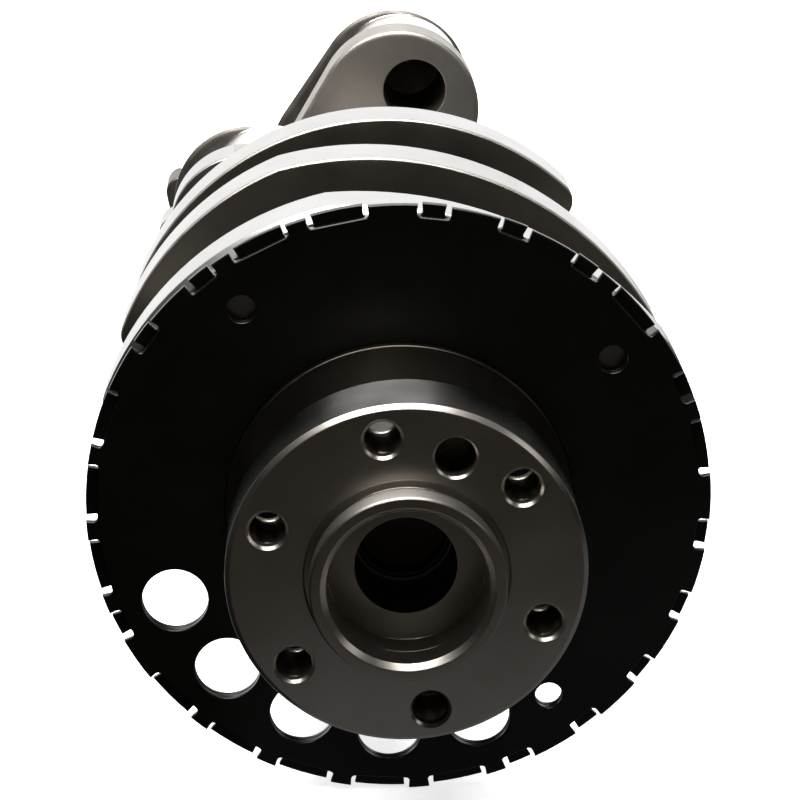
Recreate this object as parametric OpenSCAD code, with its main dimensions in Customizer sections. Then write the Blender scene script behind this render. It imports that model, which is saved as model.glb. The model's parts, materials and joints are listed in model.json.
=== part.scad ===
// Four-throw, cross-plane V8 crankshaft with a 24-slot trigger ring.
// The crank axis lies along Y. Y = 0 is the flywheel bolting face; the nose points to +Y.

/* [Layout] */
// Distance between neighbouring cylinder bores on one bank
bore_pitch = 111.76; // [95:0.01:125]
// Piston stroke (twice the throw of the crankpins)
stroke = 83; // [70:0.5:106]
// How far the shaft is turned past throw 1 pointing straight up
rest_turn = 23; // [0:1:360]
// Thickness of each web
web_t = 18.8; // [14:0.1:24]

/* [Journals] */
// Diameter of the five main journals
main_d = 65; // [55:0.01:75]
// Diameter of the four crankpins
pin_d = 53.34; // [45:0.01:62]
// Length of each crankpin (two rods side by side)
pin_l = 48; // [40:0.1:54]
// Radius of the rolled groove at the ends of every journal
groove_r = 1.5; // [1:0.1:3]
// Depth of that groove
groove_depth = 0.5; // [0.2:0.1:0.9]
// Diameter of the oil drillings
oil_d = 6; // [3:0.5:9]
// Diameter of the weight-saving hole bored through each throw
throw_bore_d = 25; // [0:0.5:28]
// Distance of that hole from the crank axis
throw_bore_dist = 50.4; // [40:0.1:56]
// Depth of that hole inside the crankpin, before its drilled cone
throw_bore_depth = 32; // [10:0.5:38]

/* [Rear flange] */
// Diameter of the flange and its polished seal land
flange_d = 97.3; // [85:0.1:115]
// Thickness of the flange
flange_t = 21.6; // [12:0.1:30]
// Bevel round the flange face
flange_bevel = 1.3; // [0.3:0.1:3]
// Pitch circle of the six flywheel bolts
bolt_pcd = 79; // [70:0.1:95]
// Tapping diameter of the flywheel bolt holes (M11 x 1.5)
bolt_hole_d = 9.6; // [8:0.1:13]
// Mouth diameter of the bevel on each bolt hole
bolt_mouth_d = 11.4; // [10:0.1:15]
// Turn of the bolt circle against the throw 1 line
bolt_turn = 2.4; // [0:0.1:30]
// Diameter of the plain locating hole
dowel_d = 11; // [8:0.1:13]
// Distance of the plain locating hole from the axis
dowel_dist = 36.1; // [30:0.1:42]
// Depth of the plain locating hole
dowel_depth = 14; // [6:0.5:18]

/* [Pilot hub] */
// Outer diameter of the raised hub
hub_d = 52.6; // [48:0.1:60]
// Height of the hub above the flange face
hub_h = 9.2; // [2:0.1:14]
// Length of the undercut at the foot of the hub
undercut_l = 2.6; // [0.5:0.1:4]
// Depth of the undercut
undercut_depth = 1; // [0.2:0.1:2]
// Diameter of the large pilot bore
pilot_d = 43.5; // [36:0.1:48]
// Depth of the large pilot bore below the flange face
pilot_depth = 8; // [4:0.1:18]
// Diameter of the small pilot bore
spigot_d = 27.8; // [20:0.1:32]
// Depth of the small pilot bore below the flange face
spigot_depth = 31; // [20:1:38]
// Diameter of the cup plug that seals the bottom of the small pilot bore
plug_d = 27; // [18:0.1:30]
// Length of the cup plug
plug_t = 7; // [4:0.5:10]

/* [Trigger ring] */
// Outer diameter of the trigger ring
ring_d = 178.4; // [160:0.1:200]
// Thickness of each of its two plates
plate_t = 2.1; // [1:0.1:4]
// Distance of the ring from the flange face
ring_y = 50; // [40:0.1:60]
// Depth of the edge slots
slot_depth = 3.6; // [2:0.1:8]
// Angular width of a wide slot
wide_slot = 11.3; // [9:0.1:13]
// Angular width of a narrow slot
narrow_slot = 6.2; // [3:0.1:7]
// Angle by which each back tooth is narrower than its slot, per side
tooth_gap = 1; // [0.2:0.1:2]
// Diameter of the big ring holes
ring_hole_d = 19; // [10:0.1:24]
// Diameter of the small ring holes
ring_pin_d = 8; // [4:0.1:12]

/* [Nose] */
// Diameter of the nose that carries the balancer hub
nose_d = 37.48; // [30:0.01:45]
// Length of the nose in front of the sprocket seat
nose_l = 70; // [50:1:100]
// Diameter of the timing sprocket seat
seat_d = 43; // [38:0.1:50]
// Length of the timing sprocket seat
seat_l = 27; // [18:1:40]
// Tapping diameter of the nose bolt hole (M16 x 2)
nose_hole_d = 14; // [10:0.1:18]
// Depth of the nose bolt hole
nose_hole_depth = 48; // [30:1:60]

/* [Hidden] */
$fn = 96;

throw_r = stroke / 2;
main_l = bore_pitch - pin_l - 2 * web_t;
ring_end_y = ring_y + 2 * plate_t;
seat_y = ring_y - 2.6;
seat_ring_d = 99;
first_pin_y = ring_end_y + web_t;
nose_start_y = first_pin_y + 3 * bore_pitch + pin_l + web_t + main_l;
hub_cheek_r = 40;
rim_bevel = 1.3;
corner_r = 7;
cut = 0.5;
// how far straight edges run inside the arcs they join
nip = 0.03;

// direction of each throw, counted from the nose end
throw_turn = [0, 90, 270, 180];
// weight outline of each web: radius, middle angle and half angle from throw 1
weight_r = [86, 86, 86.3, 0, 0, 86.3, 88.2, 89.4];
weight_mid = [196.8, 196.8, 216, 0, 0, 36, 16.8, 16.8];
weight_half = [79.8, 79.8, 60.4, 0, 0, 60.4, 79.8, 79.8];
weight_root = [0, 0, 30, 0, 0, 30, 0, 0];
// shallow flat relief across the middle of the end weights: depth offset and radius
relief_off = [19.6, 19.6, 0, 0, 0, 0, 19.6, 30.3];
relief_r = [102.9, 102.9, 0, 0, 0, 0, 102.9, 115.3];
// rounded cheek round each crankpin: distance, radius, extra turn
lobe_dist = [36.8, 40.3, 48.4, 50, 50, 48.4, 40.3, 36.8];
lobe_r = [32, 32.4, 29.2, 28.4, 28.4, 29.2, 32.4, 32];
lobe_turn = [1.1, 3.6, 7.3, 0.3, 0.3, 7.3, 3.6, 1.1];
// webs drilled on the side that faces the middle of the shaft
web_bored = [false, true, false, true, true, false, true, false];
drill_tip = 7;

// 1 = wide slot, 0 = narrow slot, every 15 degrees round the ring
slot_pattern = [0, 1, 0, 1, 0, 0, 0, 1, 1, 0, 0, 1, 1, 1, 0, 1, 1, 1, 1, 1, 0, 0, 0, 0];
slot_start = -9.4;

steel = [0.42, 0.40, 0.38];
bright = [0.72, 0.72, 0.72];
black = [0.08, 0.08, 0.08];

// world angle of a direction given from throw 1
function world(a) = 90 - rest_turn + a;
// rear end of crankpin n and of the journal behind it
function pin_y(n) = first_pin_y + (4 - n) * bore_pitch;
function web_y(n) = n % 2 == 0
    ? pin_y(n / 2) - web_t
    : pin_y((n + 1) / 2) + pin_l;
function main_y(n) = pin_y(n) + pin_l + web_t;

// flat outline drawn in X and Z, given thickness along Y
module along_y(y, l) {
    translate([0, y + l, 0])
        rotate([90, 0, 0])
            linear_extrude(height = l)
                children();
}

// outline drawn as radius and Y, turned round the crank axis
module turned() {
    rotate([-90, 0, 0])
        rotate_extrude()
            children();
}

module rod(y, l, r) {
    translate([0, y + l, 0])
        rotate([90, 0, 0])
            cylinder(h = l, r = r);
}

module cone(y, l, r_rear, r_front) {
    translate([0, y, 0])
        rotate([-90, 0, 0])
            cylinder(h = l, r1 = r_rear, r2 = r_front);
}

module at_angle(a, dist) {
    translate([dist * cos(a), 0, dist * sin(a)])
        children();
}

// plain journal with a rolled groove at its rear and front ends
module journal(l, r) {
    turned()
        difference() {
            square([r, l]);
            for (y = [groove_r - 0.5, l - groove_r + 0.5])
                translate([r + groove_r - groove_depth, y])
                    circle(r = groove_r);
        }
}

module oil_hole(y, r, a) {
    rotate([0, -a, 0])
        translate([r - 12, y, 0])
            rotate([0, 90, 0]) {
                cylinder(h = 20, d = oil_d);
                translate([0, 0, 11])
                    cylinder(h = 3, d1 = oil_d - 1, d2 = oil_d + 5);
            }
}

module main_journal(n) {
    color(bright)
        translate([0, main_y(n), 0])
            difference() {
                journal(main_l, main_d / 2);
                for (a = [60, 240])
                    oil_hole(main_l / 2, main_d / 2, world(a));
            }
}

module crankpin(n) {
    a = world(throw_turn[n - 1]);
    color(bright)
        translate([0, pin_y(n), 0])
            difference() {
                at_angle(a, throw_r)
                    journal(pin_l, pin_d / 2);
                at_angle(a, throw_r)
                    for (y = [pin_l * 0.25, pin_l * 0.75])
                        oil_hole(y, pin_d / 2, a - 75);
                at_angle(a, throw_bore_dist)
                    if (n <= 2) {
                        rod(-cut, throw_bore_depth + cut, throw_bore_d / 2);
                        cone(throw_bore_depth, drill_tip, throw_bore_d / 2, 1);
                    } else {
                        rod(pin_l - throw_bore_depth, throw_bore_depth + cut, throw_bore_d / 2);
                        cone(pin_l - throw_bore_depth - drill_tip, drill_tip, 1, throw_bore_d / 2);
                    }
            }
}

// main boss and pin boss joined by straight tangents
module cheek(y, i, a) {
    d = lobe_dist[i];
    r = lobe_r[i];
    tangent = acos((hub_cheek_r - r) / d);
    mid = [d * cos(a), d * sin(a)];
    lean = [a + tangent, a - tangent];
    rod(y, web_t, hub_cheek_r);
    at_angle(a, d)
        rod(y, web_t, r);
    along_y(y, web_t)
        polygon([
            (hub_cheek_r - nip) * [cos(lean[0]), sin(lean[0])],
            mid + (r - nip) * [cos(lean[0]), sin(lean[0])],
            mid + (r - nip) * [cos(lean[1]), sin(lean[1])],
            (hub_cheek_r - nip) * [cos(lean[1]), sin(lean[1])]
        ]);
}

// rim segment with rounded corners, its middle at angle a; root is where its sides start
module weight(y, a, r, half, root) {
    reach = r - corner_r;
    turn = half - asin(corner_r / reach);
    corner = reach * [cos(turn), sin(turn)];
    base = root > 0 ? [0, root] : [corner[0], 0];
    side = (corner - base) / norm(corner - base);
    out = (corner_r - nip) * [-side[1], side[0]];
    upper = [base + out, corner + out, corner, 2 * corner, [3 * r, r]];
    intersection() {
        rod(y, web_t, r);
        along_y(y, web_t)
            rotate(a)
                for (s = [-1, 1])
                    polygon(concat([[3 * r, 0], [root > 0 ? 0 : base[0] + out[0], 0]],
                        [for (p = upper) [p[0], s * p[1]]]));
    }
    for (s = [-1, 1])
        at_angle(a + s * turn, reach - nip)
            rod(y, web_t, corner_r);
}

module web(n) {
    i = n - 1;
    y = web_y(n);
    pin_a = world(throw_turn[ceil(n / 2) - 1]);
    rim = max(weight_r[i], lobe_dist[i] + lobe_r[i]);
    color(steel)
        difference() {
            intersection() {
                union() {
                    cheek(y, i, pin_a + lobe_turn[i]);
                    if (weight_r[i] > 0)
                        weight(y, world(weight_mid[i]), weight_r[i], weight_half[i], weight_root[i]);
                }
                translate([0, y, 0])
                    turned()
                        polygon([
                            [0, 0], [rim - rim_bevel, 0], [rim, rim_bevel],
                            [rim, web_t - rim_bevel], [rim - rim_bevel, web_t], [0, web_t]
                        ]);
                if (relief_r[i] > 0)
                    at_angle(pin_a, relief_off[i])
                        rod(y - cut, web_t + 2 * cut, relief_r[i]);
            }
            if (web_bored[i])
                at_angle(pin_a, throw_bore_dist)
                    rod(y - cut, web_t + 2 * cut, throw_bore_d / 2);
        }
}

module rear_flange() {
    r = flange_d / 2;
    foot = hub_d / 2 - undercut_depth;
    color(bright)
        difference() {
            turned()
                polygon([
                    [0, 0], [r - flange_bevel, 0], [r, flange_bevel],
                    [r, flange_t - 0.6], [r - 0.6, flange_t], [0, flange_t]
                ]);
            rod(-cut, pilot_depth + cut, pilot_d / 2);
            rod(-cut, flange_t + 2 * cut, spigot_d / 2);
            for (k = [0:5])
                at_angle(world(bolt_turn + 30 - 60 * k), bolt_pcd / 2) {
                    rod(-cut, flange_t + 2 * cut, bolt_hole_d / 2);
                    cone(-cut, 1.5, bolt_mouth_d / 2 + 0.5, bolt_mouth_d / 2 - 1);
                }
            at_angle(world(bolt_turn), dowel_dist) {
                rod(-cut, dowel_depth + cut, dowel_d / 2);
                cone(-cut, 1.5, dowel_d / 2 + 1, dowel_d / 2 - 0.5);
            }
            turned()
                polygon([[foot, -1], [hub_d / 2 + 1.6, -1], [hub_d / 2 + 1.2, 0.8], [foot, 0.8]]);
        }
}

module pilot_hub() {
    r = hub_d / 2;
    b = pilot_d / 2;
    color(bright)
        turned()
            polygon([
                [b, 0], [b, -hub_h + 1.6], [b + 1.6, -hub_h],
                [r - 0.5, -hub_h], [r, -hub_h + 0.5], [r, -undercut_l],
                [r - undercut_depth, -undercut_l], [r - undercut_depth, 0]
            ]);
}

module bore_plug() {
    r = plug_d / 2;
    color(steel)
        translate([0, spigot_depth, 0])
            turned()
                polygon([[0, plug_t - 2], [0, plug_t], [r, plug_t], [r, 0], [r - 1.5, 0], [r - 1.5, plug_t - 2]]);
}

module main_journal_5() {
    y = flange_t;
    l = seat_y - y;
    color(bright)
        difference() {
            translate([0, y, 0])
                journal(l, main_d / 2);
            rod(y - cut, spigot_depth - y + cut, spigot_d / 2);
            rod(y, spigot_depth + plug_t - y, plug_d / 2);
            for (a = [60, 240])
                oil_hole(y + l / 2, main_d / 2, world(a));
        }
}

module ring_seat() {
    r = seat_ring_d / 2;
    l = ring_end_y - seat_y;
    color(steel)
        translate([0, seat_y, 0])
            turned()
                polygon([[0, 0], [r - 0.7, 0], [r, 0.7], [r, l], [0, l]]);
}

// one edge slot with rounded inner corners, open at the rim
module slot_outline(w, depth, round) {
    x = ring_d / 2 - depth;
    h = (x + depth / 2) * tan(w / 2);
    arc = [for (t = [180:18:270]) [x + round + round * cos(t), round - h + round * sin(t)]];
    lower = concat(arc, [[x + 2 * depth, -h]]);
    last = len(lower) - 1;
    polygon(concat(lower, [for (k = [last:-1:0]) [lower[k][0], -lower[k][1]]]));
}

module plate_holes() {
    for (k = [-2:2])
        rotate(world(180) - 0.9 + 21.5 * k)
            translate([70.2, 0])
                circle(d = ring_hole_d);
    for (a = [36.2, 126.2, -53.8])
        rotate(a - 67 + world(0))
            translate([74.1, 0])
                circle(d = ring_pin_d);
}

function slot_w(k) = slot_pattern[k] == 1 ? wide_slot : narrow_slot;
function slot_a(k) = slot_start + 15 * k - 67 + world(0);

module trigger_plate_rear() {
    color(black)
        along_y(ring_y, plate_t)
            difference() {
                circle(d = ring_d);
                circle(d = seat_ring_d);
                for (k = [0:23])
                    rotate(slot_a(k) + slot_w(k) / 2)
                        slot_outline(slot_w(k), slot_depth, 1.1);
                plate_holes();
            }
}

// the front plate carries a tooth behind each slot and a slot behind each tooth
module trigger_plate_front() {
    color(black)
        along_y(ring_y + plate_t, plate_t)
            difference() {
                circle(d = ring_d);
                circle(d = seat_ring_d);
                for (k = [0:23]) {
                    a0 = slot_a(k) + slot_w(k) - tooth_gap;
                    a1 = slot_a(k) + 15 + tooth_gap;
                    rotate((a0 + a1) / 2)
                        slot_outline(a1 - a0, slot_depth, 0.8);
                }
                plate_holes();
            }
}

module sprocket_seat() {
    color(bright)
        difference() {
            union() {
                rod(nose_start_y, 4, 29);
                rod(nose_start_y + 4, seat_l - 1, seat_d / 2);
                cone(nose_start_y + seat_l + 3, 1, seat_d / 2, seat_d / 2 - 1);
            }
            key_block();
        }
}

module nose() {
    r = nose_d / 2;
    y = nose_start_y + seat_l + 4;
    color(bright)
        difference() {
            translate([0, y, 0])
                turned()
                    polygon([
                        [0, 0], [r, 0], [r, nose_l - 2], [r - 2, nose_l], [0, nose_l]
                    ]);
            rod(y + nose_l - nose_hole_depth, nose_hole_depth + cut, nose_hole_d / 2);
            cone(y + nose_l - 2, 3, nose_hole_d / 2, nose_hole_d / 2 + 3);
        }
}

module key_block() {
    rotate([0, -world(0), 0])
        translate([seat_d / 2 - 3.2, nose_start_y + 9, -2.4])
            cube([5.4, 17, 4.8]);
}

module sprocket_key() {
    color(steel)
        key_block();
}

module web_1() { web(1); }
module web_2() { web(2); }
module web_3() { web(3); }
module web_4() { web(4); }
module web_5() { web(5); }
module web_6() { web(6); }
module web_7() { web(7); }
module web_8() { web(8); }
module crankpin_1() { crankpin(1); }
module crankpin_2() { crankpin(2); }
module crankpin_3() { crankpin(3); }
module crankpin_4() { crankpin(4); }
module main_journal_1() { main_journal(1); }
module main_journal_2() { main_journal(2); }
module main_journal_3() { main_journal(3); }
module main_journal_4() { main_journal(4); }

pilot_hub();
rear_flange();
bore_plug();
main_journal_5();
ring_seat();
trigger_plate_rear();
trigger_plate_front();
web_8();
crankpin_4();
web_7();
main_journal_4();
web_6();
crankpin_3();
web_5();
main_journal_3();
web_4();
crankpin_2();
web_3();
main_journal_2();
web_2();
crankpin_1();
web_1();
main_journal_1();
sprocket_seat();
nose();
sprocket_key();
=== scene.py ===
import json
import math

import bmesh
import bpy
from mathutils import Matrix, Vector
from mathutils.geometry import tessellate_polygon


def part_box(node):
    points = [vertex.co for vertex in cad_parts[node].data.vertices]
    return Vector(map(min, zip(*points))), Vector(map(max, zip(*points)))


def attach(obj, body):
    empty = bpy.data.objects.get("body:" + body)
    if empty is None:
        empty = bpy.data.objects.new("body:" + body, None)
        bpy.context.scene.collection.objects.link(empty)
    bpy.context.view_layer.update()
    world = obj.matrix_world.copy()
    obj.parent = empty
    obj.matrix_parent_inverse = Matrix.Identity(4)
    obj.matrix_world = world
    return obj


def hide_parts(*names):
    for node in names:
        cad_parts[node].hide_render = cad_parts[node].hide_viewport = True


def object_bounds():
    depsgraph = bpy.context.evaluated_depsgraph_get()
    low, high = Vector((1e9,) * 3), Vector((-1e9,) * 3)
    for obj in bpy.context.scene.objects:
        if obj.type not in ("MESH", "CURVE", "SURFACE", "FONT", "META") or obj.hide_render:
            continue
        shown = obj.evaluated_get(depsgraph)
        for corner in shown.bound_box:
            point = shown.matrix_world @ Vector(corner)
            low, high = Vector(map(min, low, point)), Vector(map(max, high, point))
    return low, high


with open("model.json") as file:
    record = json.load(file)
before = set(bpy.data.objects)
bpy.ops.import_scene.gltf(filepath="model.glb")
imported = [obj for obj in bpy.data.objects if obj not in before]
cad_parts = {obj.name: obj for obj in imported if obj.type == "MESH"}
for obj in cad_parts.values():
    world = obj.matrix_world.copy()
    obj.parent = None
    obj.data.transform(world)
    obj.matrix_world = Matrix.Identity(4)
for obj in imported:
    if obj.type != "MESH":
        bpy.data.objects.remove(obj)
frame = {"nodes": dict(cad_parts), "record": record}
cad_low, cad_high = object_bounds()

# The crank axis is Y: Y = 0 is the flywheel face and the nose points to +Y.
# Sizes are in metres; MM turns a size in millimetres into metres.
MM = 0.001
BODY = "root"

# ---------------------------------------------------------------- sizes from the frame


def span(node):
    """Where a node starts and ends along the crank axis."""
    low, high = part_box(node)
    return low.y, high.y


def mounted(name):
    """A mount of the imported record."""
    return next(m for m in frame["record"]["mounts"] if m["name"] == name)


def mount_size(name, key):
    """One of a mount's dimensions, in metres."""
    return mounted(name)["dims"][key] * MM


FLANGE_R = mount_size("rear_seal_land", "r_mm")
HUB_R = mount_size("pilot_hub_register", "r_mm")
PILOT_R = mount_size("pilot_bore", "r_mm")
SPIGOT_R = mount_size("spigot_bore", "r_mm")
BOLT_R = mount_size("flywheel_bolts", "hole_r_mm")
BOLT_CIRCLE_R = mount_size("flywheel_bolts", "pcd_mm") / 2
MAIN_R = mount_size("main_journals", "r_mm")
PIN_R = mount_size("crankpin_journals", "r_mm")
NOSE_R = mount_size("nose", "r_mm")
NOSE_HOLE_R = mount_size("nose_bolt_hole", "r_mm")
SEAT_R = mount_size("sprocket_seat", "r_mm")

FLANGE_BEVEL = 1.3 * MM
HUB_BEVEL = 1.6 * MM
PILOT_DEPTH = 8 * MM
GROOVE_W = 1.6 * MM
GROOVE_DEPTH = 0.8 * MM
UNDERCUT = 1 * MM
UNDERCUT_LENGTH = 2.6 * MM
HOLE_BEVEL = 0.9 * MM
BOLT_PITCH = 1.5 * MM
NOSE_PITCH = 2.0 * MM
RIM_EDGE = 0.8 * MM
FORGED_EDGE = 2.4 * MM
EDGE_DEPTH = 1.4 * MM
RING_SIDE_BEVEL = 3.4 * MM
LOBE_TAPER = 4.5 * MM
ROLLED_GROOVE = 0.5 * MM
ROLLED_GROOVE_W = 2.3 * MM
OIL_R = 3 * MM
OIL_DEPTH = 12 * MM
OIL_MOUTH = 2.5 * MM
THROW_BORE_DEPTH = 32 * MM
DRILL_TIP = 7 * MM

# A cutter's path starts and ends this near its own axis, and it stands this far out of a face.
CORE = 0.02 * MM
OUT = 1 * MM

# Throw 1 stands at this angle from +X towards +Z; the other throws are turned from it.
THROW_1 = math.radians(67)
THROW_TURN = {1: 0, 2: math.radians(90), 3: math.radians(270), 4: math.radians(180)}

# ---------------------------------------------------------------- outlines and solids


def circle(radius, centre=(0.0, 0.0), count=192):
    """A round outline in X and Z, anticlockwise seen from the flywheel end."""
    turns = [2 * math.pi * k / count for k in range(count)]
    return [Vector((centre[0] + radius * math.cos(t), centre[1] + radius * math.sin(t))) for t in turns]


def middle_of(loop):
    return sum(loop, Vector((0, 0))) / len(loop)


def area(loop):
    """An outline's area, negative where it runs clockwise."""
    return sum(a.x * b.y - b.x * a.y for a, b in zip(loop, loop[1:] + loop[:1])) / 2


def thinned(loop, gap=0.04 * MM):
    """The outline without points that nearly coincide."""
    kept = [loop[0]]
    for p in loop[1:]:
        if (p - kept[-1]).length > gap:
            kept.append(p)
    if (kept[0] - kept[-1]).length < gap:
        kept.pop()
    return kept


def section(node, y):
    """Outlines where the plane at y cuts a CAD node: the outer one, then its holes."""
    bm = bmesh.new()
    bm.from_mesh(frame["nodes"][node].data)
    bmesh.ops.remove_doubles(bm, verts=bm.verts, dist=1e-6)
    everything = bm.verts[:] + bm.edges[:] + bm.faces[:]
    bmesh.ops.bisect_plane(bm, geom=everything, plane_co=(0, y, 0), plane_no=(0, 1, 0),
                           clear_inner=True, clear_outer=True)
    loops = []
    unseen = set(bm.verts)
    while unseen:
        v = unseen.pop()
        loop = [v]
        while True:
            ways = [e.other_vert(v) for e in v.link_edges if e.other_vert(v) in unseen]
            if not ways:
                break
            v = ways[0]
            unseen.discard(v)
            loop.append(v)
        loops.append(thinned([Vector((p.co.x, p.co.z)) for p in loop]))
    bm.free()
    loops = sorted((l for l in loops if len(l) > 2), key=lambda l: -abs(area(l)))
    outer = loops[0] if area(loops[0]) > 0 else loops[0][::-1]
    return [outer] + [l if area(l) < 0 else l[::-1] for l in loops[1:]]


def inset_loop(loop, inset):
    """The outline moved into the material, which lies on its left.

    inset is one number, or a list with one for each point."""
    count = len(loop)
    insets = inset if isinstance(inset, list) else [inset] * count
    moved = []
    for k, p in enumerate(loop):
        before = (p - loop[k - 1]).normalized()
        after = (loop[(k + 1) % count] - p).normalized()
        n1, n2 = Vector((-before.y, before.x)), Vector((-after.y, after.x))
        moved.append(p + (n1 + n2) * (insets[k] / max(0.35, 1 + n1.dot(n2))))
    return moved


def softened(path, radius, steps=3):
    """The path with each inner corner turned into a small arc."""
    points = [Vector(p) for p in path]
    out = [points[0]]
    for a, b, c in zip(points, points[1:], points[2:]):
        cut = min(radius, (a - b).length * 0.45, (c - b).length * 0.45)
        start, end = (a - b).normalized() * cut, (c - b).normalized() * cut
        out += [b + start * (1 - k / steps) ** 2 + end * (k / steps) ** 2 for k in range(steps + 1)]
    return out + [points[-1]]


def solid(name, walls, closed=False):
    """A mesh object from walls: each is an outline and its rows of (inset, y), from one face to the other.

    The first rows together bound one flat face and the last rows the other; a closed wall needs neither."""
    bm = bmesh.new()
    firsts, lasts = [], []
    for loop, rows in walls:
        made = []
        for inset, y in rows:
            made.append([bm.verts.new((p.x, y, p.y)) for p in inset_loop(loop, inset)])
        pairs = list(zip(made, made[1:] + made[:1])) if closed else list(zip(made, made[1:]))
        for a, b in pairs:
            for k in range(len(loop)):
                j = (k + 1) % len(loop)
                bm.faces.new((a[k], a[j], b[j], b[k]))
        firsts.append(made[0])
        lasts.append(made[-1])
    if not closed:
        for ends in (firsts, lasts):
            if len(ends) == 1:
                bm.faces.new(ends[0])
                continue
            flat = [v for loop in ends for v in loop]
            drawn = [[Vector((v.co.x, v.co.z, 0)) for v in loop] for loop in ends]
            for a, b, c in tessellate_polygon(drawn):
                bm.faces.new((flat[a], flat[b], flat[c]))
    bmesh.ops.remove_doubles(bm, verts=bm.verts, dist=1e-7)
    bmesh.ops.recalc_face_normals(bm, faces=bm.faces)
    mesh = bpy.data.meshes.new(name)
    bm.to_mesh(mesh)
    bm.free()
    piece = bpy.data.objects.new(name, mesh)
    bpy.context.scene.collection.objects.link(piece)
    return piece


def turned(name, path, centre=(0.0, 0.0), count=192, closed=False):
    """A solid turned round the axis at centre from a path of (radius, y)."""
    reach = max(r for r, y in path)
    return solid(name, [(circle(reach, centre, count), [(reach - r, y) for r, y in path])], closed)


def carve(piece, cutters):
    """Cuts the cutters out of the piece for good."""
    for cutter in cutters:
        tool = piece.modifiers.new("cut", "BOOLEAN")
        tool.operation = "DIFFERENCE"
        tool.solver = "EXACT"
        tool.object = cutter
    bpy.context.view_layer.update()
    ready = piece.evaluated_get(bpy.context.evaluated_depsgraph_get())
    mesh = bpy.data.meshes.new_from_object(ready)
    piece.modifiers.clear()
    piece.data = mesh
    for cutter in cutters:
        bpy.data.objects.remove(cutter)


def paint_bore_shade(piece, centre, radius, index):
    """Gives the walls and floor of a drilled hole the piece's material number index: the darker bore steel,
    which paints shade inside the hole.
    """
    for face in piece.data.polygons:
        away = math.hypot(face.center.x - centre[0], face.center.z - centre[1])
        if away < radius + 0.1 * MM and (abs(face.normal.y) < 0.9 or away < 0.5 * radius):
            face.material_index = index


def finish_piece(piece, node, slot, *materials):
    """Smooth shading with crisp edges and the materials; the piece joins the body and the CAD node that it
    stands for is hidden.
    """
    mesh = piece.data
    for m in materials:
        mesh.materials.append(m)
    mesh.shade_smooth()
    mesh.set_sharp_from_angle(angle=math.radians(32))
    even = piece.modifiers.new("even_normals", "WEIGHTED_NORMAL")
    even.keep_sharp = True
    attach(piece, BODY)
    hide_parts(node)


# ---------------------------------------------------------------- materials

# Nearly all of a noise's grey values lie between these.
NOISE_LOW, NOISE_HIGH = 0.3, 0.7

STEEL_GRAIN = 0.0006 * MM


def new_material(name):
    """A material with its node tree and its shader."""
    m = bpy.data.materials.new(name)
    m.use_nodes = True
    tree = m.node_tree
    shader = tree.nodes["Principled BSDF"]
    return m, tree, shader


def add_node(tree, kind, **values):
    """A shader node with its inputs or its own settings given by name."""
    made = tree.nodes.new(kind)
    for key, value in values.items():
        if key in made.inputs:
            made.inputs[key].default_value = value
        else:
            setattr(made, key, value)
    return made


def noise(tree, vector, scale, detail=2.0, roughness=0.5):
    """A noise's grey value at a place."""
    made = add_node(tree, "ShaderNodeTexNoise", Scale=scale, Detail=detail, Roughness=roughness)
    tree.links.new(vector, made.inputs["Vector"])
    return made.outputs["Fac"]


def stretched(tree, scale):
    """Object coordinates stretched, so that a noise on them runs in lines."""
    where = add_node(tree, "ShaderNodeTexCoord")
    mapping = add_node(tree, "ShaderNodeMapping", Scale=scale)
    tree.links.new(where.outputs["Object"], mapping.inputs["Vector"])
    return mapping.outputs["Vector"]


def from_axis(tree):
    """Distance from the crank axis, as a vector that changes only with it."""
    where = add_node(tree, "ShaderNodeTexCoord")
    flat = add_node(tree, "ShaderNodeVectorMath", operation="MULTIPLY")
    flat.inputs[1].default_value = (1, 0, 1)
    far = add_node(tree, "ShaderNodeVectorMath", operation="LENGTH")
    tree.links.new(where.outputs["Object"], flat.inputs[0])
    tree.links.new(flat.outputs["Vector"], far.inputs[0])
    joined = add_node(tree, "ShaderNodeCombineXYZ")
    tree.links.new(far.outputs["Value"], joined.inputs["X"])
    return joined.outputs["Vector"]


def mixed(tree, factor, low, high):
    """A colour between low and high as a noise goes over its usual range."""
    ramp = add_node(tree, "ShaderNodeValToRGB")
    ramp.color_ramp.elements[0].position = NOISE_LOW
    ramp.color_ramp.elements[0].color = (*low, 1)
    ramp.color_ramp.elements[1].position = NOISE_HIGH
    ramp.color_ramp.elements[1].color = (*high, 1)
    tree.links.new(factor, ramp.inputs["Fac"])
    return ramp.outputs["Color"]


def ranged(tree, factor, low, high):
    """A number between low and high as a noise goes over its usual range."""
    made = add_node(tree, "ShaderNodeMapRange")
    made.inputs["From Min"].default_value = NOISE_LOW
    made.inputs["From Max"].default_value = NOISE_HIGH
    made.inputs["To Min"].default_value = low
    made.inputs["To Max"].default_value = high
    tree.links.new(factor, made.inputs["Value"])
    return made.outputs["Result"]


def bumped(tree, shader, layers):
    """Bump from layers of (height, depth in metres)."""
    normal = None
    for height, depth in layers:
        bump = add_node(tree, "ShaderNodeBump", Strength=1.0, Distance=depth)
        tree.links.new(height, bump.inputs["Height"])
        if normal:
            tree.links.new(normal, bump.inputs["Normal"])
        normal = bump.outputs["Normal"]
    tree.links.new(normal, shader.inputs["Normal"])


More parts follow.
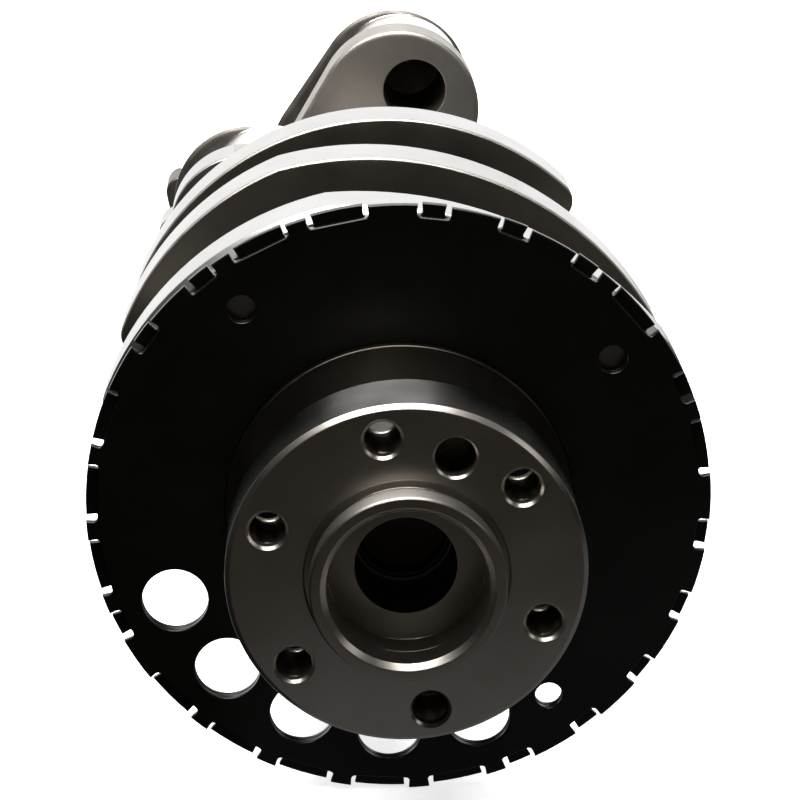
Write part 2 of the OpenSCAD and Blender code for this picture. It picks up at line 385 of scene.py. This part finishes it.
def steel(name, low, high, rough, lines, line_depth, spread=0.0):
    """Machined steel: lines is the tool marks' noise maker, low and high its two tints.

    spread stretches its highlights along Y, as fine marks round the axis do."""
    m, tree, shader = new_material(name)
    if spread:
        shader.inputs["Anisotropic"].default_value = spread
        shader.inputs["Anisotropic Rotation"].default_value = 0.25
        round_axis = add_node(tree, "ShaderNodeTangent", direction_type="RADIAL", axis="Y")
        tree.links.new(round_axis.outputs["Tangent"], shader.inputs["Tangent"])
    plain = stretched(tree, (1, 1, 1))
    marks = lines(tree)
    blotch = noise(tree, plain, 45, 4, 0.6)
    tree.links.new(mixed(tree, blotch, low, high), shader.inputs["Base Color"])
    fine = noise(tree, plain, 900, 3, 0.6)
    worn = noise(tree, plain, 60, 3)
    tree.links.new(ranged(tree, worn, rough - 0.02, rough + 0.03), shader.inputs["Roughness"])
    shader.inputs["Metallic"].default_value = 1.0
    bumped(tree, shader, [(marks, line_depth), (fine, STEEL_GRAIN)])
    return m


def round_lines(tree):
    """Turning marks on a surface round the axis: they change along Y only."""
    return noise(tree, stretched(tree, (12, 5000, 12)), 1, 2)


def face_lines(tree):
    """Facing marks on a flat face turned in a lathe: rings round the axis."""
    return noise(tree, from_axis(tree), 4200, 2)


def milled_lines(tree):
    """Straight cutter marks on a milled cheek."""
    return noise(tree, stretched(tree, (2600, 40, 60)), 1, 2)


land = steel("ground_land", (0.145, 0.141, 0.134), (0.17, 0.166, 0.158), 0.24, round_lines, 0.0002 * MM,
             spread=0.9)
journal = steel("polished_journal", (0.50, 0.49, 0.48), (0.58, 0.57, 0.55), 0.24, round_lines, 0.0002 * MM,
                spread=0.6)
faced = steel("faced_steel", (0.31, 0.285, 0.255), (0.36, 0.335, 0.305), 0.30, face_lines, 0.0010 * MM)
# Near-black steel for the ring seat in the gap between flange and trigger ring: painted shade, not a finish
# of its own.
painted_shade_seat = steel("seat_steel_painted_shade", (0.032, 0.028, 0.023), (0.045, 0.040, 0.033), 0.36, face_lines, 0.0012 * MM)
# Rougher steel for the walls and floors of holes: the roughness is the bored finish, the darker tone is
# painted shade inside the holes.
bored_painted_shade = steel("bored_steel_painted_shade", (0.19, 0.172, 0.145), (0.24, 0.216, 0.186), 0.45, face_lines, 0.0012 * MM)
hub_side = steel("turned_hub_side", (0.27, 0.252, 0.227), (0.31, 0.292, 0.267), 0.46, round_lines,
                 0.0003 * MM, spread=0.6)
turned_rim = steel("turned_rim", (0.29, 0.286, 0.277), (0.335, 0.329, 0.32), 0.34, round_lines,
                   0.0020 * MM)
milled = steel("milled_cheek", (0.24, 0.225, 0.20), (0.29, 0.27, 0.245), 0.30, milled_lines, 0.0014 * MM)
blasted = steel("blasted_cheek", (0.28, 0.26, 0.235), (0.34, 0.315, 0.29), 0.42, milled_lines, 0.0010 * MM)


def forged_skin(name, low, high):
    """Shot-blasted forged skin between the machined places."""
    m, tree, shader = new_material(name)
    plain = stretched(tree, (1, 1, 1))
    tint = noise(tree, plain, 60, 4, 0.6)
    tree.links.new(mixed(tree, tint, low, high), shader.inputs["Base Color"])
    tree.links.new(ranged(tree, noise(tree, plain, 200, 3), 0.45, 0.6), shader.inputs["Roughness"])
    shader.inputs["Metallic"].default_value = 1.0
    bumped(tree, shader, [(noise(tree, plain, 60, 3), 0.08 * MM), (noise(tree, plain, 900, 3), 0.008 * MM)])
    return m


def black_coat():
    """Satin black coat of the trigger ring."""
    m, tree, shader = new_material("black_coat")
    plain = stretched(tree, (1, 1, 1))
    tree.links.new(mixed(tree, noise(tree, plain, 40, 4), (0.0015, 0.0015, 0.0012), (0.003, 0.003, 0.0025)),
                   shader.inputs["Base Color"])
    tree.links.new(ranged(tree, noise(tree, plain, 150, 3), 0.28, 0.36), shader.inputs["Roughness"])
    shader.inputs["Specular IOR Level"].default_value = 0.2
    bumped(tree, shader, [(noise(tree, plain, 1400, 3), 0.0015 * MM)])
    return m


forged = forged_skin("forged_skin", (0.24, 0.22, 0.20), (0.34, 0.32, 0.29))
# A darker copy of the forged skin for webs 1 and 3 and the bore plug: painted shade, not a different
# finish.
painted_shade_forged = forged_skin("forged_skin_painted_shade", (0.10, 0.09, 0.08), (0.16, 0.145, 0.13))
coat = black_coat()

# ---------------------------------------------------------------- rear end


def bolt_centres():
    """Middles of the six flywheel bolt holes: the flange's holes that lie on the bolt circle."""
    loops = section("rear_flange", 0.9 * span("rear_flange")[1])
    middles = [middle_of(loop) for loop in loops[1:]]
    return [p for p in middles if abs(p.length - BOLT_CIRCLE_R) < 1 * MM]


def thread_rows(start, end, pitch, count):
    """Rows of (inset, y) for a threaded hole: the inset follows the groove of a helix."""
    depth = 0.55 * pitch
    rows_per_turn = 8
    rows = []
    total = int((end - start) / pitch * rows_per_turn)
    fade = 1.2 * pitch
    for k in range(total + 1):
        y = start + (end - start) * k / total
        strength = min(1, (y - start) / fade, (end - y) / fade) * depth
        insets = []
        for j in range(count):
            phase = (y / pitch - j / count) % 1
            insets.append(strength * (1 - abs(2 * phase - 1)))
        rows.append((insets, y))
    return rows


def tapped_wall(centre, start, end):
    """The wall of a tapped through hole with bevelled mouths."""
    count = 48
    bevel = HOLE_BEVEL
    mouth = softened([(bevel * 1.3, start), (bevel, start), (0, start + bevel), (0, start + 2 * bevel)],
                     0.3 * MM)[1:]
    thread = thread_rows(start + 2.2 * bevel, end - 2.2 * bevel, BOLT_PITCH, count)
    foot = [(0, end - 2 * bevel), (0, end - bevel), (bevel, end)]
    return circle(BOLT_R, centre, count)[::-1], [tuple(p) for p in mouth] + thread + foot


def locating_hole_cutter(start):
    """The plain blind hole for the locating dowel."""
    hole = mounted("flywheel_locating_hole")
    radius = hole["dims"]["r_mm"] * MM
    x, y, z = hole["pos_m"]
    deep = y + hole["dims"]["length_mm"] * MM / 2
    path = [(CORE, start - OUT), (radius + 1.6 * MM, start - OUT), (radius, start + 0.6 * MM),
            (radius, deep - 0.4 * MM), (radius - 0.4 * MM, deep), (CORE, deep)]
    return turned("cutter", path, (x, z), 64)


def make_rear_flange():
    """The flange with its holes: a turned face, a ground seal land, and bored walls darkened with painted
    shade.
    """
    start, end = span("rear_flange")
    bolts = bolt_centres()
    edge = 0.25 * MM
    rim = softened([(FLANGE_BEVEL * 2, start), (FLANGE_BEVEL, start), (0, start + FLANGE_BEVEL),
                    (0, end - 0.6 * MM), (0.6 * MM, end), (1.2 * MM, end)], edge)[1:-1]
    walls = [(circle(FLANGE_R, count=256), rim)]
    walls += [tapped_wall(middle, start, end) for middle in bolts]
    deep = start + GROOVE_DEPTH
    foot = HUB_R - UNDERCUT
    bore = softened([(HUB_R + GROOVE_W, start), (HUB_R + GROOVE_W * 0.75, deep), (foot, deep),
                     (foot, start), (PILOT_R, start), (PILOT_R, start + PILOT_DEPTH),
                     (SPIGOT_R, start + PILOT_DEPTH), (SPIGOT_R, end)], 0.2 * MM)
    walls.append((circle(SPIGOT_R, count=160)[::-1], [(r - SPIGOT_R, y) for r, y in bore]))
    piece = solid("rear_flange_piece", walls)
    carve(piece, [locating_hole_cutter(start)])
    for face in piece.data.polygons:
        radius = math.hypot(face.center.x, face.center.z)
        on_land = radius > FLANGE_R - 1.1 * FLANGE_BEVEL and abs(face.normal.y) < 0.3
        face.material_index = 1 if on_land else 0
    paint_bore_shade(piece, (0, 0), SPIGOT_R, 2)
    hole = mounted("flywheel_locating_hole")["pos_m"]
    paint_bore_shade(piece, (hole[0], hole[2]), BOLT_R * 1.15, 2)
    for middle in bolts:
        paint_bore_shade(piece, middle, BOLT_R, 2)
    finish_piece(piece, "rear_flange", "machined_steel", faced, land, bored_painted_shade)


def make_pilot_hub():
    """The hub that centres the flywheel, undercut at its foot."""
    start, end = span("pilot_hub")
    edge = 0.5 * MM
    foot = HUB_R - UNDERCUT
    path = [(PILOT_R, end), (PILOT_R, start + HUB_BEVEL), (PILOT_R + HUB_BEVEL, start),
            (HUB_R - edge, start), (HUB_R, start + edge), (HUB_R, end - UNDERCUT_LENGTH),
            (foot, end - UNDERCUT_LENGTH), (foot, end)]
    piece = turned("pilot_hub_piece", softened(path, 0.2 * MM), count=224, closed=True)
    for face in piece.data.polygons:
        radius = math.hypot(face.center.x, face.center.z)
        on_side = radius > HUB_R - 0.6 * MM and face.center.y < end - UNDERCUT_LENGTH
        face.material_index = 1 if on_side else 0
    finish_piece(piece, "pilot_hub", "machined_steel", faced, hub_side)


def make_bore_plug():
    """A pressed cup that closes the pilot bore."""
    start, end = span("bore_plug")
    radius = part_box("bore_plug")[1].x
    sheet = 1.5 * MM
    path = softened([(0.2 * MM, end - 2 * MM), (radius - sheet, end - 2 * MM), (radius - sheet, start),
                     (radius, start), (radius, end), (0.2 * MM, end)], 0.8 * MM)
    piece = turned("bore_plug_piece", path, count=96)
    # The cup takes the darker copy of the forged skin: painted shade deep in the bore.
    finish_piece(piece, "bore_plug", "machined_steel", painted_shade_forged)


def make_ring_seat():
    """The shoulder that the trigger ring is shrunk on to."""
    start, end = span("ring_seat")
    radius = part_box("ring_seat")[1].x
    inner = MAIN_R - 4 * MM
    bevel = 0.3 * MM
    path = softened([(inner, start), (radius - bevel, start), (radius, start + bevel), (radius, end),
                     (inner, end)], 0.1 * MM)
    piece = turned("ring_seat_piece", path, count=256)
    # The seat's near-black steel paints the shade of the gap between flange and ring.
    finish_piece(piece, "ring_seat", "machined_steel", painted_shade_seat)


def make_trigger_plate(node_name):
    """A plate of the trigger ring, cut to the CAD node's outline, with broken edges."""
    start, end = span(node_name)
    edge = 0.3 * MM
    loops = section(node_name, (start + end) / 2)
    rows = softened([(edge * 1.4, start), (edge, start), (0, start + edge), (0, end - edge), (edge, end),
                     (edge * 1.4, end)], edge / 2, 2)[1:-1]
    piece = solid(node_name + "_piece", [(loop, rows) for loop in loops])
    finish_piece(piece, node_name, "black_ring", coat)


# ---------------------------------------------------------------- journals and webs


def journal_rows(start, end):
    """Rows along a journal: a ground surface with a rolled groove at each end."""
    steps = 6
    lip = 0.05 * MM
    arc = [(ROLLED_GROOVE * math.sin(math.pi * k / steps) ** 0.8, ROLLED_GROOVE_W * k / steps)
           for k in range(steps + 1)]
    rear = [(inset, start + lip + y) for inset, y in arc]
    front = [(inset, end - lip - y) for inset, y in reversed(arc)]
    return [(0, start)] + rear + front + [(0, end)]


def oil_cutter(surface, angle, centre, y):
    """A drilling with a bevelled mouth, square to a journal's surface."""
    over = 1.5 * MM
    path = [(CORE, surface - OIL_DEPTH), (OIL_R, surface - OIL_DEPTH + OIL_R), (OIL_R, surface - 1.6 * MM),
            (OIL_R + 0.5 * MM, surface - 0.6 * MM), (OIL_R + OIL_MOUTH, surface + over),
            (CORE, surface + over)]
    cutter = turned("cutter", path, count=48)
    outward = Vector((math.cos(angle), 0, math.sin(angle)))
    cutter.matrix_world = outward.to_track_quat("Y", "X").to_matrix().to_4x4()
    cutter.matrix_world.translation = (centre[0], y, centre[1])
    return cutter


def make_main_journal(number):
    """A main bearing journal with its two oil drillings; the last one also holds the bore plug."""
    name = f"main_journal_{number}"
    start, end = span(name)
    piece = solid(name + "_piece", [(circle(MAIN_R, count=256), journal_rows(start, end))])
    turns = [THROW_1 + math.radians(60), THROW_1 + math.radians(240)]
    cutters = [oil_cutter(MAIN_R, a, (0, 0), (start + end) / 2) for a in turns]
    if number == 5:
        seat, deep = span("bore_plug")
        plug_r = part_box("bore_plug")[1].x
        path = [(CORE, start - OUT), (SPIGOT_R, start - OUT), (SPIGOT_R, seat), (plug_r, seat),
                (plug_r, deep), (CORE, deep)]
        cutters.append(turned("cutter", path, count=128))
    carve(piece, cutters)
    if number == 5:
        paint_bore_shade(piece, (0, 0), SPIGOT_R, 1)
    finish_piece(piece, name, "polished_steel", journal, bored_painted_shade)


def make_crankpin(number):
    """A crankpin with its two oil drillings and its blind throw bore."""
    name = f"crankpin_{number}"
    start, end = span(name)
    low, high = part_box(name)
    centre = ((low.x + high.x) / 2, (low.z + high.z) / 2)
    piece = solid(name + "_piece", [(circle(PIN_R, centre, 224), journal_rows(start, end))])
    angle = THROW_1 + THROW_TURN[number] - math.radians(75)
    length = end - start
    cutters = [oil_cutter(PIN_R, angle, centre, start + length * share) for share in (0.25, 0.75)]
    mouth, inward = (start, 1) if number <= 2 else (end, -1)
    bore = section(name, mouth + inward * 4 * MM)[1]
    bore_middle = middle_of(bore)
    radius = (max(p.x for p in bore) - min(p.x for p in bore)) / 2
    path = [(CORE, -OUT), (radius, -OUT), (radius, THROW_BORE_DEPTH),
            (1 * MM, THROW_BORE_DEPTH + DRILL_TIP), (CORE, THROW_BORE_DEPTH + DRILL_TIP)]
    path = [(r, mouth + inward * y) for r, y in path]
    cutters.append(turned("cutter", path, bore_middle, 96))
    carve(piece, cutters)
    paint_bore_shade(piece, bore_middle, radius, 1)
    finish_piece(piece, name, "polished_steel", journal, bored_painted_shade)


def on_rim(p, reach):
    """1 on a counterweight's turned rim and 0 away from it, with a short change between."""
    return min(1, max(0, (p.length - reach + 14 * MM) / (8 * MM)))


def make_web(number):
    """A web cut to the CAD node's outline: soft forged edges, and a sharper edge along its turned rim."""
    name = f"web_{number}"
    start, end = span(name)
    loops = section(name, (start + end) / 2)
    reach = max(p.length for p in loops[0])
    edges = [FORGED_EDGE + (RIM_EDGE - FORGED_EDGE) * on_rim(p, reach) for p in loops[0]]
    steps = 5
    turns = [math.pi / 2 * k / steps for k in range(steps + 1)]
    rear = [([e * (1 - math.sin(t)) for e in edges], start + EDGE_DEPTH * (1 - math.cos(t))) for t in turns]
    taper = LOBE_TAPER if number in (1, 3) else 0
    drop = [(e - RIM_EDGE) / (FORGED_EDGE - RIM_EDGE) * taper for e in edges]
    front = [([i + d for i, d in zip(insets, drop)], start + end - y) for insets, y in reversed(rear)]
    if number == 8:
        rear = softened([(RING_SIDE_BEVEL * 1.2, start), (RING_SIDE_BEVEL, start),
                         (0, start + RING_SIDE_BEVEL * 0.8), (0, start + RING_SIDE_BEVEL)], 0.6 * MM)[1:]
    soft = 0.5 * MM
    hole = [(soft, start), (soft * 0.3, start + soft * 0.3), (0, start + soft),
            (0, end - soft), (soft * 0.3, end - soft * 0.3), (soft, end)]
    piece = solid(name + "_piece", [(loops[0], rear + front)] + [(loop, hole) for loop in loops[1:]])
    for face in piece.data.polygons:
        radius = math.hypot(face.center.x, face.center.z)
        if abs(face.normal.y) > 0.95:
            face.material_index = 0
        elif radius > reach - 9 * MM and (abs(face.normal.y) < 0.35 or number == 8):
            face.material_index = 1
        else:
            face.material_index = 2
    for loop in loops[1:]:
        middle = middle_of(loop)
        paint_bore_shade(piece, middle, max(p.x for p in loop) - middle.x, 3)
    # Webs 1 and 3 take the darker copy of the forged skin on every face: painted shade on these two webs.
    cheek = {1: painted_shade_forged, 2: blasted, 3: painted_shade_forged}.get(number, milled)
    skins = (painted_shade_forged, painted_shade_forged) if number in (1, 3) else (turned_rim, forged)
    finish_piece(piece, name, "machined_steel", cheek, *skins, bored_painted_shade)


# ---------------------------------------------------------------- front end


def key_slot_cutter():
    """The keyway's room, from the key itself."""
    source = frame["nodes"]["sprocket_key"]
    cutter = bpy.data.objects.new("cutter", source.data.copy())
    bpy.context.scene.collection.objects.link(cutter)
    return cutter


def make_sprocket_seat():
    """The timing sprocket's seat, with a collar and a keyway."""
    start, end = span("sprocket_seat")
    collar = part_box("sprocket_seat")[1].x
    collar_end = start + 4 * MM
    inner = 10 * MM
    bevel = 1 * MM
    path = softened([(inner, start), (collar, start), (collar, collar_end), (SEAT_R, collar_end),
                     (SEAT_R, end - bevel), (SEAT_R - bevel, end), (inner, end)], 0.3 * MM)
    piece = turned("sprocket_seat_piece", path, count=192)
    carve(piece, [key_slot_cutter()])
    finish_piece(piece, "sprocket_seat", "polished_steel", journal)


def make_key():
    """The CAD key with bevelled edges."""
    source = frame["nodes"]["sprocket_key"]
    bm = bmesh.new()
    bm.from_mesh(source.data)
    bmesh.ops.remove_doubles(bm, verts=bm.verts, dist=1e-6)
    bmesh.ops.dissolve_limit(bm, angle_limit=0.02, verts=bm.verts, edges=bm.edges)
    bmesh.ops.bevel(bm, geom=bm.edges[:], offset=0.35 * MM, segments=3, affect="EDGES", profile=0.5)
    mesh = bpy.data.meshes.new("sprocket_key_piece")
    bm.to_mesh(mesh)
    bm.free()
    piece = bpy.data.objects.new("sprocket_key_piece", mesh)
    bpy.context.scene.collection.objects.link(piece)
    finish_piece(piece, "sprocket_key", "machined_steel", faced)


def make_nose():
    """The front end with its threaded bolt hole."""
    start, end = span("nose")
    bevel = 2 * MM
    rim = softened([(2.6 * MM + NOSE_R * 0.1, end), (bevel, end), (0, end - bevel), (0, start)], 0.5 * MM)
    depth = mounted("nose_bolt_hole")["dims"]["length_mm"] * MM
    piece = solid("nose_piece", [(circle(NOSE_R, count=192), [tuple(p) for p in rim])])
    count = 64
    loop = circle(NOSE_HOLE_R, count=count)
    mouth = end - 2.6 * MM
    rows = [(NOSE_HOLE_R - 0.05 * MM, end - depth - 6 * MM), (0, end - depth - 2 * MM)]
    for insets, y in thread_rows(end - depth + 2 * MM, mouth - 0.5 * MM, NOSE_PITCH, count):
        rows.append(([-i for i in insets], y))
    rows += [(0, mouth), (-4.1 * MM, end + 1.5 * MM)]
    cutter = solid("cutter", [(loop, rows)])
    carve(piece, [cutter])
    finish_piece(piece, "nose", "polished_steel", journal)


make_pilot_hub()
make_rear_flange()
make_bore_plug()
make_ring_seat()
make_trigger_plate("trigger_plate_rear")
make_trigger_plate("trigger_plate_front")
for n in range(1, 6):
    make_main_journal(n)
for n in range(1, 5):
    make_crankpin(n)
for n in range(1, 9):
    make_web(n)
make_sprocket_seat()
make_key()
make_nose()

# ---------------------------------------------------------------- stage, light and camera


def plane(name, x0, x1, y0, y1, z, brightness, glow):
    """A flat stage plane in a plain matt grey that glows a little."""
    mesh = bpy.data.meshes.new(name)
    mesh.from_pydata([(x0, y0, z), (x1, y0, z), (x1, y1, z), (x0, y1, z)], [], [(0, 1, 2, 3)])
    m, _, shader = new_material(name + "_finish")
    shader.inputs["Base Color"].default_value = (brightness, brightness, brightness, 1)
    shader.inputs["Roughness"].default_value = 0.9
    shader.inputs["Emission Color"].default_value = (1, 1, 1, 1)
    shader.inputs["Emission Strength"].default_value = glow
    mesh.materials.append(m)
    made = bpy.data.objects.new(name, mesh)
    bpy.context.scene.collection.objects.link(made)
    return made


def area_light(name, place, target, size_x, size_y, power):
    """A rectangular lamp at place that shines towards target."""
    light = bpy.data.lights.new(name, "AREA")
    light.shape = "RECTANGLE"
    light.size = size_x
    light.size_y = size_y
    light.energy = power
    lamp = bpy.data.objects.new(name, light)
    lamp.location = place
    lamp.rotation_euler = (Vector(target) - Vector(place)).to_track_quat("-Z", "Y").to_euler()
    bpy.context.scene.collection.objects.link(lamp)


def make_world():
    """A studio that reflects bright only from behind the nose, in front of a plain white backdrop."""
    world = bpy.data.worlds.new("studio")
    bpy.context.scene.world = world
    world.use_nodes = True
    tree = world.node_tree
    where = add_node(tree, "ShaderNodeTexCoord")
    split = add_node(tree, "ShaderNodeSeparateXYZ")
    tree.links.new(where.outputs["Generated"], split.inputs["Vector"])
    shift = add_node(tree, "ShaderNodeMapRange")
    shift.inputs["From Min"].default_value = -1
    shift.inputs["From Max"].default_value = 1
    tree.links.new(split.outputs["Y"], shift.inputs["Value"])
    ramp = add_node(tree, "ShaderNodeValToRGB")
    stops = ramp.color_ramp.elements
    stops[0].position = 0.10
    stops[0].color = (0.020, 0.018, 0.015, 1)
    stops[-1].position = 0.93
    stops[-1].color = (1.0, 1.0, 1.0, 1)
    stops.new(0.35).color = (0.006, 0.006, 0.005, 1)
    stops.new(0.76).color = (0.006, 0.006, 0.006, 1)
    tree.links.new(shift.outputs["Result"], ramp.inputs["Fac"])
    room = tree.nodes["Background"]
    room.inputs["Strength"].default_value = 2.0
    tree.links.new(ramp.outputs["Color"], room.inputs["Color"])
    backdrop = add_node(tree, "ShaderNodeBackground")
    backdrop.inputs["Color"].default_value = (0.95, 0.95, 0.95, 1)
    seen = add_node(tree, "ShaderNodeLightPath")
    pick = add_node(tree, "ShaderNodeMixShader")
    tree.links.new(seen.outputs["Is Camera Ray"], pick.inputs["Fac"])
    tree.links.new(room.outputs["Background"], pick.inputs[1])
    tree.links.new(backdrop.outputs["Background"], pick.inputs[2])
    tree.links.new(pick.outputs["Shader"], tree.nodes["World Output"].inputs["Surface"])


def make_camera(place, yaw, pitch, lens):
    """A camera at place that looks along +Y, turned by yaw towards +X and by pitch upwards."""
    data = bpy.data.cameras.new("camera")
    data.sensor_width = 36
    data.lens = lens
    camera = bpy.data.objects.new("camera", data)
    camera.location = place
    gaze = Vector((math.sin(yaw) * math.cos(pitch), math.cos(yaw) * math.cos(pitch), math.sin(pitch)))
    camera.rotation_euler = gaze.to_track_quat("-Z", "Y").to_euler()
    bpy.context.scene.collection.objects.link(camera)
    bpy.context.scene.camera = camera


floor = plane("floor", -12, 12, -12, 12, cad_low.z - 0.1 * MM, 0.9, 0.75)
floor.visible_glossy = False
floor.visible_diffuse = False
card = plane("bounce_card", -0.05, 0.5, -0.16, 1.0, cad_low.z - 0.2 * MM, 0.0, 0.16)
card.visible_camera = False
area_light("top_softbox", (-0.15, 0.10, 0.95), (-0.15, 0.101, 0), 0.80, 1.0, 42)
area_light("right_softbox", (0.84, -0.23, 0.52), (0, 0, 0), 0.30, 0.30, 0.6)
make_world()
bpy.context.scene.view_settings.view_transform = "Standard"
make_camera((-27.5 * MM, -631.3 * MM, 270.3 * MM), math.radians(2.32), math.radians(-19.22), 115.8)
